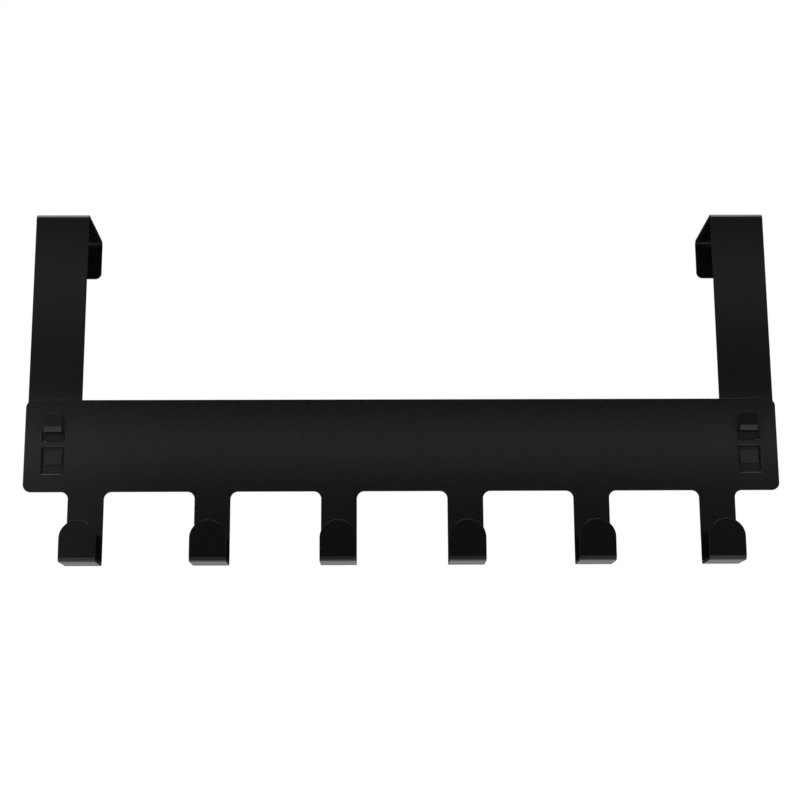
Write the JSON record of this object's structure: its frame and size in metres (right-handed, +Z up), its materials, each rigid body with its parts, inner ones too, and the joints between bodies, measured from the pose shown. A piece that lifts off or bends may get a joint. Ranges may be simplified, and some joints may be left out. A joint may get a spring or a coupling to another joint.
{
  "type": "over door hook rail",
  "caption": "Folded sheet-steel hook rail that hangs over the top of a door on two detachable arms, with a row of round-nosed J-hooks.",
  "frame": {"origin": "midway between the two arms, where the door's front face meets its top edge", "axes": "+X along the rail to the viewer's right, +Y back over the door, +Z up; the hooks face -Y"},
  "size_m": [0.35, 0.0636, 0.1706],
  "materials": {
    "powder_coat": "satin black powder coat"
  },
  "bodies": {
    "root": {"hook_rail": "powder_coat", "left_arm": "powder_coat", "right_arm": "powder_coat"}
  },
  "joints": []
}
